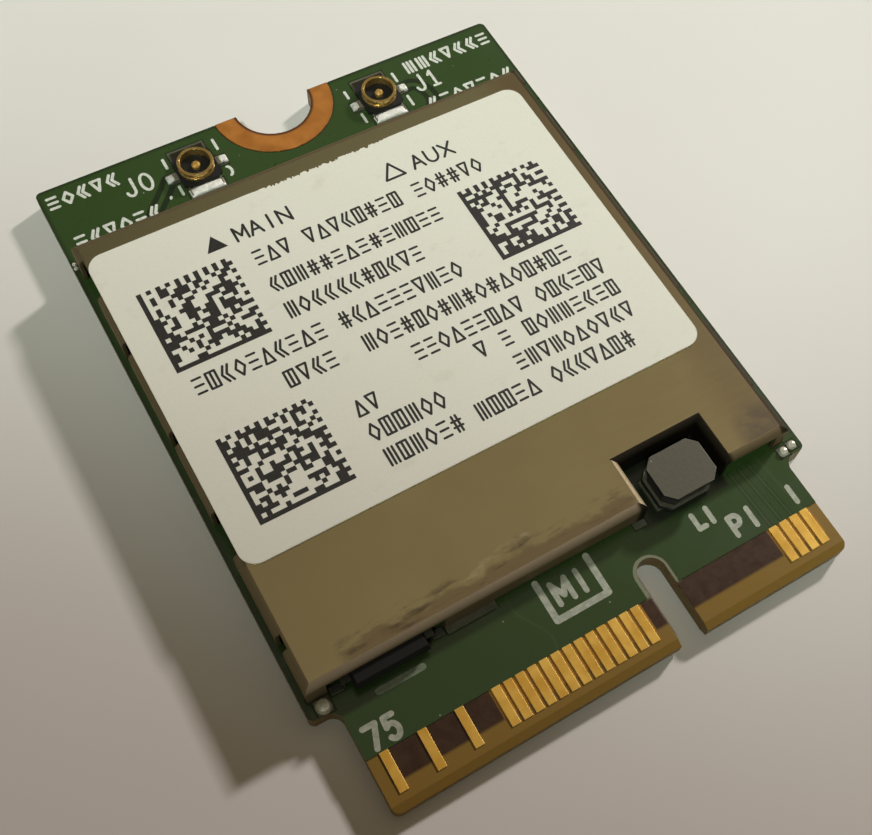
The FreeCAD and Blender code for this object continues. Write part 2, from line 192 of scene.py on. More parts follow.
# Rubbed edges: how far a rounded-off normal leans from the flat one, broken up by noise
def makeEdgeGroup(look):
    group, given, result = startGroup("rubbedEdges", {"Radius": 0.0001, "Scale": 3.0}, "Rub")
    radius = {"Radius": given["Radius"]}
    rounded = addNode(group, "ShaderNodeBevel", radius, samples=look["rubSamples"]).outputs[0]
    flat = addNode(group, "ShaderNodeNewGeometry").outputs["Normal"]
    edge = ramp(group, vectorNode(group, "DOT_PRODUCT", {0: rounded, 1: flat}, "Value"), *look["rubLean"])
    noise = noiseOf(group, given["Place"], given["Scale"], look["rubDetail"])
    group.links.new(times(group, edge, ramp(group, noise, *look["rubPatches"])), result["Rub"])
    return group


# Wiped smears: noise drawn out along x, cut at a threshold
def makeSmearGroup(look):
    usual = {"Scale": 1.0, "Start": 0.5, "Stretch": (0.25, 1.0, 1.0)}
    group, given, result = startGroup("wipedSmears", usual, "Smear")
    drawn = vectorNode(group, "MULTIPLY", {0: given["Place"], 1: given["Stretch"]})
    noise = noiseOf(group, drawn, given["Scale"], look["smearDetail"], look["smearRough"])
    full = mathNode(group, "ADD", given["Start"], look["smearFade"])
    group.links.new(ramp(group, noise, given["Start"], full), result["Smear"])
    return group


# Settled dust: sparse round specks on faces that look up
def makeDustGroup(look):
    group, given, result = startGroup("settledDust", {"Scale": 1.6, "Size": 0.06}, "Dust")
    spread = {"Vector": given["Place"], "Scale": given["Scale"]}
    cells = addNode(group, "ShaderNodeTexVoronoi", spread).outputs
    inside = mathNode(group, "LESS_THAN", cells["Distance"], given["Size"])
    tint = addNode(group, "ShaderNodeSeparateColor", {0: cells["Color"]}).outputs[0]
    chosen = mathNode(group, "GREATER_THAN", tint, look["dustChosen"])
    upward = ramp(group, facingOf(group)[2], *look["dustUpward"])
    group.links.new(times(group, times(group, inside, chosen), upward), result["Dust"])
    return group


grainGroup = makeGrainGroup(effectLook)
edgeGroup = makeEdgeGroup(effectLook)
smearGroup = makeSmearGroup(effectLook)
dustGroup = makeDustGroup(effectLook)


def grainOf(tree, place, scale, contrast):
    return useGroup(tree, grainGroup, {"Place": place, "Scale": scale, "Contrast": contrast})


def rubOf(tree, place, radius, scale):
    return useGroup(tree, edgeGroup, {"Place": place, "Radius": radius * mm, "Scale": scale})


def smearOf(tree, place, scale, start, stretch):
    return useGroup(tree, smearGroup, {"Place": place, "Scale": scale, "Start": start, "Stretch": stretch})


def dustOf(tree, place, scale, size):
    return useGroup(tree, dustGroup, {"Place": place, "Scale": scale, "Size": size})


# Material with a Principled shader and its plain settings
def startMaterial(name, settings):
    material = bpy.data.materials.new(name)
    material.use_nodes = True
    tree = material.node_tree
    shader = tree.nodes["Principled BSDF"]
    for key, value in settings.items():
        shader.inputs[key].default_value = value
    return material, tree, shader


# Roughness from one end of a range to the other by grain
def glossBy(tree, grain, gloss):
    return ramp(tree, grain, 0.0, 1.0, *gloss)


# Colour, roughness and bump to the shader; a rounding softens the edges under the bump
def dressShader(tree, shader, colour, rough, height, strength, distance, rounding=None):
    bump = {"Height": height, "Strength": strength, "Distance": distance * mm}
    if rounding:
        radius = {"Radius": rounding * mm}
        rounded = addNode(tree, "ShaderNodeBevel", radius, samples=effectLook["roundSamples"])
        bump["Normal"] = rounded.outputs[0]
    tree.links.new(colour, shader.inputs["Base Color"])
    tree.links.new(rough, shader.inputs["Roughness"])
    tree.links.new(addNode(tree, "ShaderNodeBump", bump).outputs[0], shader.inputs["Normal"])


# What the plain finishes share unless one has its own value; bump is strength, depth and rounding of edges
plainLook = {"metal": 0.0, "shine": 0.5, "contrast": 2.0, "bump": (0.2, 0.01), "rubScale": 2.5,
             "sideShadeSpan": (0.6, 0.2), "dustCells": (1.7, 0.05), "dustTint": paint(190, 188, 178)}


# A surface of two near colours by grain, with its own gloss range and a fine bump
def plainFinish(name, own):
    look = {**plainLook, **own}
    settings = {"Metallic": look["metal"], "Specular IOR Level": look["shine"]}
    material, tree, shader = startMaterial(name, settings)
    place = placeOf(tree)
    grain = grainOf(tree, place, look["grain"], look["contrast"])
    colour = mixColour(tree, grain, *look["tones"])
    if "rub" in look:
        colour = mixColour(tree, rubOf(tree, place, look["rubRadius"], look["rubScale"]), colour, look["rub"])
    if "rim" in look:  # dark line round the screw notch
        gap = distanceTo(tree, partsOf(tree, place)[:2], look["rimMiddle"])
        colour = mixColour(tree, ramp(tree, gap, *look["rimSpan"]), colour, look["rim"])
    # Painted shade: faces that look sideways take the side colour
    if "side" in look:
        colour = mixColour(tree, ramp(tree, facingOf(tree)[2], *look["sideShadeSpan"]), colour, look["side"])
    if "dust" in look:
        dust = dustOf(tree, place, *look["dustCells"])
        colour = mixColour(tree, dust, colour, look["dustTint"], look["dust"])
    dressShader(tree, shader, colour, glossBy(tree, grain, look["gloss"]), grain, *look["bump"])
    return material


finishes = {
    "copper": {"tones": (paint(166, 103, 38), paint(190, 124, 50)), "grain": 1.6, "gloss": (0.42, 0.55),
               "rub": paint(112, 62, 30), "rubRadius": 0.1, "bump": (0.1, 0.01, 0.03),
               "rim": paint(92, 50, 26), "rimMiddle": (0.0, 15.0), "rimSpan": (1.92, 1.8), "metal": 0.4},
    "gold": {"tones": (paint(222, 168, 58), paint(246, 202, 94)), "grain": 1.2, "gloss": (0.34, 0.46),
             "rub": paint(255, 226, 150), "rubRadius": 0.04, "bump": (0.05, 0.01, 0.03), "metal": 0.4},
    "tin": {"tones": (paint(196, 195, 186), paint(228, 227, 218)), "grain": 1.2, "gloss": (0.26, 0.38),
            "bump": (0.03, 0.01, 0.03), "metal": 0.5},
    # Tin painted darker than tin is, as painted shade: the dull one for the lands, the deeper one for chip
    # leads and coil terminals
    "dullShadedTin": {"tones": (paint(72, 74, 60), paint(96, 96, 80)), "grain": 2.0, "gloss": (0.5, 0.62),
                "bump": (0.05, 0.01, 0.02), "metal": 0.3},
    "deepShadedTin": {"tones": (paint(46, 46, 38), paint(70, 69, 58)), "grain": 2.0, "gloss": (0.45, 0.6),
                "bump": (0.05, 0.01, 0.02), "metal": 0.3},
    "tabSolder": {"tones": (paint(222, 220, 208), paint(244, 243, 234)), "grain": 3.0,
                  "gloss": (0.2, 0.32), "bump": (0.05, 0.01, 0.03), "metal": 0.1},
    "solderBead": {"tones": (paint(182, 180, 160), paint(216, 214, 196)), "grain": 3.0,
                   "gloss": (0.22, 0.34), "bump": (0.05, 0.01, 0.05), "metal": 0.15},
    "socketPlastic": {"tones": (paint(12, 12, 10), paint(26, 25, 22)), "grain": 9.0,
                      "gloss": (0.5, 0.7), "dust": 0.4, "bump": (0.2, 0.01, 0.02), "shine": 0.3},
    # Ferrite: the side colour is painted shade on the sideways faces
    "ferrite": {"tones": (paint(69, 67, 51), paint(86, 83, 66)), "side": paint(20, 20, 16), "grain": 7.0,
                "gloss": (0.5, 0.72), "rub": paint(108, 106, 92), "rubRadius": 0.08, "dust": 0.6,
                "bump": (0.3, 0.01, 0.05)},
    "coilResin": {"tones": (paint(26, 26, 24), paint(48, 47, 44)), "grain": 4.0, "gloss": (0.35, 0.6)},
    # Chip mould: the side colour is painted shade on the sideways faces
    "chipMould": {"tones": (paint(10, 11, 8), paint(20, 20, 16)), "side": paint(8, 8, 6), "grain": 11.0,
                  "gloss": (0.6, 0.75), "dust": 0.4, "bump": (0.35, 0.01, 0.03), "shine": 0.25},
    "whiteCeramic": {"tones": (paint(204, 198, 182), paint(230, 226, 214)), "grain": 6.0,
                     "gloss": (0.3, 0.45)},
    "tanCeramic": {"tones": (paint(150, 118, 84), paint(184, 150, 112)), "grain": 8.0, "gloss": (0.35, 0.5)},
    "blackCeramic": {"tones": (paint(24, 24, 26), paint(46, 46, 48)), "grain": 8.0, "gloss": (0.3, 0.45)},
    "silkInk": {"tones": (paint(186, 190, 176), paint(226, 228, 216)), "grain": 10.0,
                "gloss": (0.5, 0.65), "bump": (0.3, 0.01)},
    "wornInk": {"tones": (paint(146, 153, 134), paint(186, 191, 172)), "grain": 5.0,
                "gloss": (0.5, 0.65), "bump": (0.3, 0.01)},
    "thinInk": {"tones": (paint(92, 106, 84), paint(128, 140, 116)), "grain": 6.0, "gloss": (0.45, 0.6)},
    "blackInk": {"tones": (paint(18, 17, 15), paint(44, 41, 36)), "grain": 14.0,
                 "gloss": (0.45, 0.6), "contrast": 3.0},
}
made = {name: plainFinish(name, look) for name, look in finishes.items()}

# Bare laminate: amber at the bevelled tip and at the sides, orange between close contacts, brown elsewhere.
# Past the contacts it is dark, with a pale rim round the key slot.
laminateLook = {
    "amber": paint(138, 109, 47), "brown": paint(57, 37, 28), "pale": paint(132, 138, 112),
    "ply": paint(104, 84, 38), "between": paint(172, 126, 50), "underMask": paint(30, 44, 20),
    "tipSpan": (0.87, 1.03), "sideShadeSpan": (9.52, 9.42), "behindHalf": 0.1,
    "groups": ((8.5, 1.06, 0.98), (-1.75, 3.31, 3.23)),  # middle, and off it the tint's start and full
    "keyEnd": (2.625, -12.1), "keySpan": (0.9, 0.75),
    "plies": {"Scale": 6.0, "Distortion": 1.6, "Detail": 2.0, "Detail Scale": 1.5}, "plyShare": 0.6,
    "cutSpan": (0.5, 0.2), "weave": {"Scale": 3.4, "Distortion": 0.6}, "weaveTone": 0.07, "grainTone": 0.16,
    "grain": (3.0, 2.2), "gloss": (0.36, 0.52), "bump": (0.15, 0.01, 0.04),
}


def makeLaminate(look):
    material, tree, shader = startMaterial("boardLaminate", {"Specular IOR Level": 0.25})
    place = placeOf(tree)
    x, y = partsOf(tree, place)[:2]
    grain = grainOf(tree, place, *look["grain"])
    inner = ramp(tree, y, *(boardLow[1] + reach for reach in look["tipSpan"]))
    middle = ramp(tree, mathNode(tree, "ABSOLUTE", x), *look["sideShadeSpan"])
    colour = mixColour(tree, times(tree, inner, middle), look["amber"], look["brown"])
    for at, start, full in look["groups"]:
        close = times(tree, inner, ramp(tree, offFrom(tree, x, at), start, full))
        colour = mixColour(tree, close, colour, look["between"])
    alongKey = mathNode(tree, "MAXIMUM", y, look["keyEnd"][1])
    nearKey = ramp(tree, distanceTo(tree, (x, alongKey), look["keyEnd"]), *look["keySpan"])
    behind = ramp(tree, y, contactFar - look["behindHalf"], contactFar + look["behindHalf"])
    colour = mixColour(tree, behind, colour, mixColour(tree, nearKey, look["underMask"], look["pale"]))
    # The cut sides show the glass plies as thin level bands
    side = ramp(tree, mathNode(tree, "ABSOLUTE", facingOf(tree)[2]), *look["cutSpan"])
    plies = waveOf(tree, place, "Z", look["plies"])
    cut = mixColour(tree, plies, look["ply"], look["amber"], look["plyShare"])
    colour = mixColour(tree, side, colour, cut)
    # Glass weave: two crossed waves
    weave = times(tree, *(waveOf(tree, place, axis, look["weave"]) for axis in ("X", "Y")))
    tone = mathNode(tree, "ADD", times(tree, weave, look["weaveTone"]), times(tree, grain, look["grainTone"]))
    colour = mixColour(tree, tone, colour, look["ply"])
    dressShader(tree, shader, colour, glossBy(tree, grain, look["gloss"]), weave, *look["bump"])
    return material


# Green mask: lighter over the copper pour, darker in the bare band along the board's edges, with painted
# shade in the recess round the coil
maskLook = {
    "pour": paint(46, 70, 29), "bare": paint(32, 50, 22), "trace": paint(55, 77, 37),
    "gap": paint(20, 34, 14), "old": paint(41, 58, 28), "oldShare": 0.3, "edgeSpan": (0.06, 0.22),
    # the recess colour is painted shade in the recess round the coil
    "recess": paint(15, 19, 12), "recessMiddle": (5.3, -9.25), "recessHalf": (2.15, 1.45),
    "dustCells": (1.3, 0.045), "dustTint": paint(170, 172, 160), "dustShare": 0.5,
    "cloud": (0.5, 1.3), "grain": (12.0, 2.5), "gloss": (0.2, 0.36), "bump": (0.06, 0.008),
}


def makeMask(name, look, copper):
    material, tree, shader = startMaterial(name, {"IOR": 1.52})
    place = placeOf(tree)
    x, y = partsOf(tree, place)[:2]
    cloud = grainOf(tree, place, *look["cloud"])
    colour = look[copper]
    if copper == "pour":
        sideGap = mathNode(tree, "SUBTRACT", boardHigh[0], mathNode(tree, "ABSOLUTE", x))
        farGap = mathNode(tree, "SUBTRACT", boardHigh[1], y)
        share = ramp(tree, mathNode(tree, "MINIMUM", sideGap, farGap), *look["edgeSpan"])
        colour = mixColour(tree, share, look["bare"], look["pour"])
        # Painted shade: the mask in the recess round the coil is darkened where shade falls
        recess = insideOf(tree, (x, y), look["recessMiddle"], look["recessHalf"])
        colour = mixColour(tree, recess, colour, look["recess"])
    colour = mixColour(tree, cloud, colour, look["old"], look["oldShare"])
    dust = dustOf(tree, place, *look["dustCells"])
    colour = mixColour(tree, dust, colour, look["dustTint"], look["dustShare"])
    grain = grainOf(tree, place, *look["grain"])
    dressShader(tree, shader, colour, glossBy(tree, cloud, look["gloss"]), grain, *look["bump"])
    return material


# Shield sheet: dull rolled metal with residue wiped along the near edge, a grey smudge, and bends with
# painted highlight and painted shade
shieldLook = {
    "sheet": paint(186, 174, 134), "shade": paint(176, 163, 124), "far": paint(183, 180, 144),
    "farSpan": (8.8, 10.0), "right": paint(168, 155, 122), "rightSpan": (7.6, 9.6),
    "rolled": (0.12, 3.0, 3.0), "grain": (6.0, 1.6), "cloud": (0.35, 1.6),
    "residueY": -8.8, "residueX": (-9.4, -8.6, 2.9, 3.5), "drift": (0.8, 1.5),
    "veil": paint(146, 130, 104), "veilSpan": (0.12, -0.12), "veilShare": 0.75,
    "residue": paint(98, 85, 66), "residueSpan": (0.5, 0.1), "residueShare": 0.9, "residueGloss": 0.2,
    "residueSmear": (2.4, 0.47, (0.2, 1.0, 1.0)),
    "scuff": paint(214, 206, 172), "scuffX": (-4.4, -4.0, -1.2, -0.8), "scuffOff": 0.3,
    "scuffSpan": (0.2, 0.05), "scuffShare": 0.55, "scuffSmear": (1.9, 0.46, (0.45, 1.4, 1.0)),
    "grey": paint(128, 121, 114), "smudge": (9.4, -9.5), "smudgeSpan": (1.5, 0.45), "smudgeShare": 0.7,
    "smudgeSmear": (0.9, 0.34, (0.7, 1.0, 1.0)), "smudgeLeast": 0.45,
    "rub": paint(220, 210, 182), "rubEdge": (0.14, 1.8), "rubShare": 0.5,
    # Bend colours: the pale one is a painted highlight on bends that face right, the dim one painted shade on
    # the rest, the near one a painted highlight on the near arris
    "bend": paint(150, 139, 110), "bendShade": paint(112, 100, 74), "bendSpan": (0.9995, 0.996),
    "brightSpan": (0.0, 0.2), "near": paint(138, 125, 103), "nearHighlightSpan": (-0.02, -0.12), "nearHighlightX": (4.6, 3.6),
    "arrisSpan": (0.1, 0.4), "rightArrisDark": paint(58, 50, 38), "rightArrisX": (9.9, 10.0),
    # The recess colour is painted shade on the walls round the coil
    "recess": paint(40, 36, 28), "recessMiddle": (5.38, -9.0), "recessHalf": (2.3, 1.5),
    "gloss": (0.19, 0.24), "bendGloss": 0.45, "bump": (0.02, 0.008, 0.04),
}


def makeShield(look):
    material, tree, shader = startMaterial("shieldSheet", {"Metallic": 1.0})
    place = placeOf(tree)
    x, y = partsOf(tree, place)[:2]
    grain = grainOf(tree, vectorNode(tree, "MULTIPLY", {0: place, 1: look["rolled"]}), *look["grain"])
    colour = mixColour(tree, grainOf(tree, place, *look["cloud"]), look["shade"], look["sheet"])
    colour = mixColour(tree, ramp(tree, y, *look["farSpan"]), colour, look["far"])
    colour = mixColour(tree, ramp(tree, x, *look["rightSpan"]), colour, look["right"])
    # Residue: a thin veil from a ragged line to the near edge, darkest along it, with pale scuffs beyond
    drift = grainOf(tree, place, *look["drift"])
    above = mathNode(tree, "SUBTRACT", mathNode(tree, "ADD", y, drift), look["residueY"])
    along = stretchOf(tree, x, *look["residueX"])
    veil = times(tree, along, ramp(tree, above, *look["veilSpan"]))
    colour = mixColour(tree, veil, colour, look["veil"], look["veilShare"])
    band = ramp(tree, mathNode(tree, "ABSOLUTE", above), *look["residueSpan"])
    residue = times(tree, smearOf(tree, place, *look["residueSmear"]), times(tree, band, along))
    colour = mixColour(tree, residue, colour, look["residue"], look["residueShare"])
    beyond = ramp(tree, offFrom(tree, above, look["scuffOff"]), *look["scuffSpan"])
    span = times(tree, beyond, stretchOf(tree, x, *look["scuffX"]))
    scuff = times(tree, smearOf(tree, place, *look["scuffSmear"]), span)
    colour = mixColour(tree, scuff, colour, look["scuff"], look["scuffShare"])
    # Grey smudge: falls off with the distance from its middle, broken up by the smears
    blot = ramp(tree, smearOf(tree, place, *look["smudgeSmear"]), 0.0, 1.0, look["smudgeLeast"])
    grey = times(tree, blot, ramp(tree, distanceTo(tree, (x, y), look["smudge"]), *look["smudgeSpan"]))
    colour = mixColour(tree, grey, colour, look["grey"], look["smudgeShare"])
    colour = mixColour(tree, rubOf(tree, place, *look["rubEdge"]), colour, look["rub"], look["rubShare"])
    # Bends and walls are dull, with painted light and shade: a painted highlight where they face right and on
    # the near arris, painted shade elsewhere, darker on the arris at the right end, and painted dark shade in
    # the recess
    rightward, farward, upward = facingOf(tree)
    bend = ramp(tree, upward, *look["bendSpan"])
    bright = ramp(tree, rightward, *look["brightSpan"])
    colour = mixColour(tree, bend, colour, mixColour(tree, bright, look["bendShade"], look["bend"]))
    # Painted highlight on the near arris
    arris = times(tree, bend, ramp(tree, upward, *look["arrisSpan"]))
    near = times(tree, ramp(tree, farward, *look["nearHighlightSpan"]), ramp(tree, x, *look["nearHighlightX"]))
    colour = mixColour(tree, times(tree, near, arris), colour, look["near"])
    # The arris at the right end is made darker
    rightArrisDark = times(tree, arris, ramp(tree, x, *look["rightArrisX"]))
    colour = mixColour(tree, rightArrisDark, colour, look["rightArrisDark"])
    # Painted shade: in the recess the bends and walls that do not face right are darkened
    dark = times(tree, bend, mathNode(tree, "SUBTRACT", 1.0, bright))
    recess = insideOf(tree, (x, y), look["recessMiddle"], look["recessHalf"])
    colour = mixColour(tree, times(tree, recess, dark), colour, look["recess"])
    rough = glossBy(tree, grain, look["gloss"])
    rough = mathNode(tree, "ADD", rough, times(tree, residue, look["residueGloss"]))
    rough = mathNode(tree, "ADD", rough, times(tree, bend, look["bendGloss"]), clamp=True)
    dressShader(tree, shader, colour, rough, grain, *look["bump"])
    return material


# Socket shell: gold ring whose tabs are wetted with solder near the board; the pin is of brighter gold
shellLook = {"gold": paint(208, 174, 98), "deep": paint(146, 116, 58), "solder": paint(150, 148, 134),
             "bright": paint(250, 226, 160), "shadow": paint(64, 63, 52), "farDark": (13.4, 13.7),
             "wetSpan": (landTop + 0.15, landTop + 0.11), "rubEdge": (0.06, 3.0), "rubShare": 0.35,
             "grain": (3.0, 1.4), "gloss": (0.34, 0.2), "bump": (0.05, 0.01, 0.04)}
pinLook = {**shellLook, "gold": paint(240, 202, 116), "deep": paint(216, 170, 84)}


def makeShell(name, look):
    material, tree, shader = startMaterial(name, {"Metallic": 0.75})
    place = placeOf(tree)
    y, z = partsOf(tree, place)[1:]
    grain = grainOf(tree, place, *look["grain"])
    colour = mixColour(tree, grain, look["deep"], look["gold"])
    solder = mixColour(tree, ramp(tree, y, *look["farDark"]), look["solder"], look["shadow"])
    colour = mixColour(tree, ramp(tree, z, *look["wetSpan"]), colour, solder)
    colour = mixColour(tree, rubOf(tree, place, *look["rubEdge"]), colour, look["bright"], look["rubShare"])
    dressShader(tree, shader, colour, glossBy(tree, grain, look["gloss"]), grain, *look["bump"])
    return material


# Label paper: warm white with faint fibres, handling grime and a grey rim
paperLook = {"paper": paint(225, 224, 208), "fibre": paint(217, 215, 198), "grime": paint(176, 168, 148),
             "grain": (9.0, 2.2), "fibreShare": 0.5, "cloud": (0.3, 2.0),
             "smear": (0.9, 0.56, (0.7, 0.9, 1.0)), "smearShare": 0.16, "rubEdge": (0.1, 2.0),
             "rubShare": 0.4, "gloss": (0.48, 0.62), "bump": (0.12, 0.01)}


def makePaper(look):
    material, tree, shader = startMaterial("labelPaper", {"Specular IOR Level": 0.35})
    place = placeOf(tree)
    fibre = grainOf(tree, place, *look["grain"])
    colour = mixColour(tree, fibre, look["paper"], look["fibre"], look["fibreShare"])
    smear = smearOf(tree, place, *look["smear"])
    colour = mixColour(tree, smear, colour, look["grime"], look["smearShare"])
    colour = mixColour(tree, rubOf(tree, place, *look["rubEdge"]), colour, look["grime"], look["rubShare"])
    cloud = grainOf(tree, place, *look["cloud"])
    dressShader(tree, shader, colour, glossBy(tree, cloud, look["gloss"]), fibre, *look["bump"])
    return material


made["boardLaminate"] = makeLaminate(laminateLook)
maskNames = {"solderMask": "pour", "maskOverTrace": "trace", "maskOverBare": "bare", "maskOverGap": "gap"}
for name, copper in maskNames.items():
    made[name] = makeMask(name, maskLook, copper)
made["shieldSheet"] = makeShield(shieldLook)
made["socketShell"] = makeShell("socketShell", shellLook)
made["socketPin"] = makeShell("socketPin", pinLook)
made["labelPaper"] = makePaper(paperLook)

slotFinish = {"laminate": "boardLaminate", "solder_mask": "solderMask", "copper": "copper", "gold": "gold",
              "tin": "tin", "nickel_silver": "shieldSheet", "label_paper": "labelPaper",
              "socket_plastic": "socketPlastic", "ferrite": "ferrite", "coil_resin": "coilResin",
              "chip_mould": "chipMould", "white_ceramic": "whiteCeramic", "tan_ceramic": "tanCeramic",
              "black_ceramic": "blackCeramic"}
# Lands, chip leads and coil terminals take tin painted dark as shade
ownFinish = {"main_socket_shell": "socketShell", "aux_socket_shell": "socketShell", "solder_lands": "dullShadedTin",
             "memory_chip_leads": "deepShadedTin", "inductor_terminals": "deepShadedTin", "shield_solder": "solderBead",
             "main_socket_pin": "socketPin", "aux_socket_pin": "socketPin"}
for subpart in frame["record"]["subparts"]:
    finish = ownFinish.get(subpart["node"], slotFinish[subpart["material_slot"]])
    slots = nodes[subpart["node"]].data.materials
    slots.clear()
    slots.append(made[finish])
print("finishes made:", len(made))


# Mesh object at the origin from points in millimetres
def addMesh(name, points, faces, material):
    mesh = bpy.data.meshes.new(name)
    mesh.from_pydata((np.asarray(points) * mm).tolist(), [], np.asarray(faces).tolist())
    mesh.materials.append(material)
    added = bpy.data.objects.new(name, mesh)
    bpy.context.scene.collection.objects.link(added)
    return added


# New piece that rides on the card
def addPiece(name, points, faces, finish, slotName, smooth=False):
    piece = addMesh(name, points, faces, made[finish])
    piece.data.polygons.foreach_set("use_smooth", np.full(len(faces), smooth))
    piece.data.update()
    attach(piece, "root")
    return piece


# Several (points, faces) sets as one
def joinSets(sets):
    starts = np.cumsum([0] + [len(points) for points, faces in sets[:-1]])
    return (np.concatenate([points for points, faces in sets]),
            np.concatenate([faces + start for (points, faces), start in zip(sets, starts)]))


# Flat points given a level
def atLevel(flat, level):
    return np.concatenate([flat, np.full((*flat.shape[:-1], 1), level)], axis=-1)


# Four-sided faces between the neighbours of a grid of point numbers
def gridQuads(index):
    return np.stack([index[:-1, :-1], index[1:, :-1], index[1:, 1:], index[:-1, 1:]], axis=-1).reshape(-1, 4)


inkHeight = 0.006  # printed ink over its ground
inkStep = 0.0005  # strokes that cross lie at different levels
inkLevels = 7
tipShare = 0.05  # of a band's width, left at the very end


# Band with half-round ends: a flat profile carried along each path. At a distance s past an end, the half
# width is the square root of r squared less s squared. Paths have equally many points, as (count, points, 2).
def bands(paths, width, low, high, capSteps=4):
    paths = np.asarray(paths, float)
    ahead = np.gradient(paths, axis=1)
    ahead = ahead / np.linalg.norm(ahead, axis=2, keepdims=True)
    turn = np.linspace(0, math.pi / 2, capSteps + 1)[1:]
    past = width / 2 * np.sin(turn)
    narrow = width / 2 * np.maximum(np.cos(turn), tipShare)
    first = paths[:, :1] - ahead[:, :1] * past[::-1, None]
    last = paths[:, -1:] + ahead[:, -1:] * past[:, None]
    centre = np.concatenate([first, paths, last], axis=1)
    ways = np.pad(ahead, ((0, 0), (capSteps, capSteps), (0, 0)), mode="edge")
    half = np.concatenate([narrow[::-1], np.full(paths.shape[1], width / 2), narrow])[None, :, None]
    aside = np.stack([-ways[..., 1], ways[..., 0]], axis=-1) * half
    count, steps = centre.shape[:2]
    rails = np.zeros((count, steps, 4, 3))
    rails[:, :, :2, :2] = (centre + aside)[:, :, None]
    rails[:, :, 2:, :2] = (centre - aside)[:, :, None]
    level = high - inkStep * (np.arange(count) % inkLevels)
    rails[:, :, :, 2] = low
    rails[:, :, 1:3, 2] = level[:, None, None]
    index = np.arange(count * steps * 4).reshape(count, steps, 4)
    ring = np.roll(index, -1, axis=2)
    sides = np.stack([index[:, :-1], ring[:, :-1], ring[:, 1:], index[:, 1:]], axis=-1).reshape(-1, 4)
    ends = np.concatenate([index[:, 0, ::-1], index[:, -1]])
    return rails.reshape(-1, 3), np.concatenate([sides, ends])[:, ::-1]


# Straight stroke between two points
def line(x0, y0, x1, y1):
    return np.linspace((x0, y0), (x1, y1), 2)


# Straight strokes from each point to the next
def chain(*points):
    return [line(*start, *end) for start, end in zip(points, points[1:])]


# Arc of an ellipse: its middle plus the half sizes times the cosine and the sine of an angle
def arc(x, y, wide, tall, start, end, count=15):
    angle = np.radians(np.linspace(start, end, count))
    return np.stack([x + wide * np.cos(angle), y + tall * np.sin(angle)], axis=1)


# Letters and figures as single strokes in a unit cell
strokes = {
    "A": chain((0, 0), (0.5, 1), (1, 0)) + [line(0.2, 0.36, 0.8, 0.36)],
    "I": [line(0.5, 0, 0.5, 1)],
    "J": [line(0.8, 1, 0.8, 0.3), arc(0.45, 0.3, 0.35, 0.3, 360, 190)],
    "L": chain((0.1, 1), (0.1, 0), (0.85, 0)),
    "M": chain((0, 0), (0, 1), (0.5, 0.3), (1, 1), (1, 0)),
    "N": chain((0, 0), (0, 1), (1, 0), (1, 1)),
    "P": [*chain((0.1, 0), (0.1, 1), (0.55, 1)), arc(0.55, 0.73, 0.38, 0.27, 90, -90),
          line(0.55, 0.46, 0.1, 0.46)],
    "U": [line(0, 1, 0, 0.45), arc(0.5, 0.45, 0.5, 0.45, 180, 360), line(1, 0.45, 1, 1)],
    "X": [line(0, 0, 1, 1), line(0, 1, 1, 0)],
    "0": [arc(0.5, 0.5, 0.45, 0.5, 0, 180), arc(0.5, 0.5, 0.45, 0.5, 180, 360)],
    "1": chain((0.5, 0), (0.5, 1), (0.2, 0.78)) + [line(0.2, 0, 0.8, 0)],
    "5": chain((0.85, 1), (0.2, 1), (0.14, 0.56)) + [arc(0.46, 0.33, 0.42, 0.33, 130, -140)],
    "7": chain((0.05, 1), (0.95, 1), (0.35, 0)),
    "|": [line(0.5, 0, 0.5, 1)],
}
# Filler marks for printed rows: bars, a diamond, triangles, chevrons, a grid and a split box
fillMarks = [
    [line(0.1, 0.95, 0.9, 0.95), line(0.1, 0.5, 0.9, 0.5), line(0.1, 0.05, 0.9, 0.05)],
    chain((0.5, 1), (0.95, 0.5), (0.5, 0), (0.05, 0.5), (0.5, 1)),
    chain((0.05, 1), (0.95, 1), (0.5, 0.05), (0.05, 1)),
    [line(0.1, 0, 0.1, 1), line(0.5, 0, 0.5, 1), line(0.9, 0, 0.9, 1)],
    chain((0.45, 1), (0.05, 0.5), (0.45, 0)) + chain((0.9, 1), (0.5, 0.5), (0.9, 0)),
    chain((0.05, 0), (0.95, 0), (0.5, 0.95), (0.05, 0)),
    [line(0.3, 1, 0.3, 0), line(0.7, 1, 0.7, 0), line(0.05, 0.68, 0.95, 0.68), line(0.05, 0.32, 0.95, 0.32)],
    chain((0.05, 0), (0.05, 1), (0.95, 1), (0.95, 0), (0.05, 0)) + [line(0.5, 0, 0.5, 1)],
]
openMarks = 5  # the first ones stay clear when the stroke is broad
gapShare = 0.12  # of the cells in a filled row


# Strokes of a row of cells that stand on a baseline, each cell as wide and high as given
def placeStrokes(cells, left, base, wide, high, pitch):
    return [cell * (wide, high) + (left + pitch * place, base) for place, group in cells for cell in group]


def lettering(words, left, base, wide, high, pitch):
    cells = [(place, strokes[letter]) for place, letter in enumerate(words)]
    return placeStrokes(cells, left, base, wide, high, pitch)


# A printed row filled with marks, in short runs with gaps between
def filledRow(dice, left, right, base, high, wide, pitch, kinds):
    count = int((right - left - wide) / pitch) + 1
    gaps = dice.random(count) < gapShare
    gaps[[0, -1]] = False
    picks = dice.integers(0, kinds, count)
    cells = [(place, fillMarks[pick]) for place, (pick, gap) in enumerate(zip(picks, gaps)) if not gap]
    return placeStrokes(cells, left, base, wide, high, pitch)


# Strokes with two points and strokes with many are banded apart, since a set has equally many points
def inkSets(paths, width, low, high):
    straight = [path for path in paths if len(path) == 2]
    curved = [path for path in paths if len(path) > 2]
    levels = ((straight, high), (curved, high - inkStep / 2))
    return [bands(group, width, low, level) for group, level in levels if group]


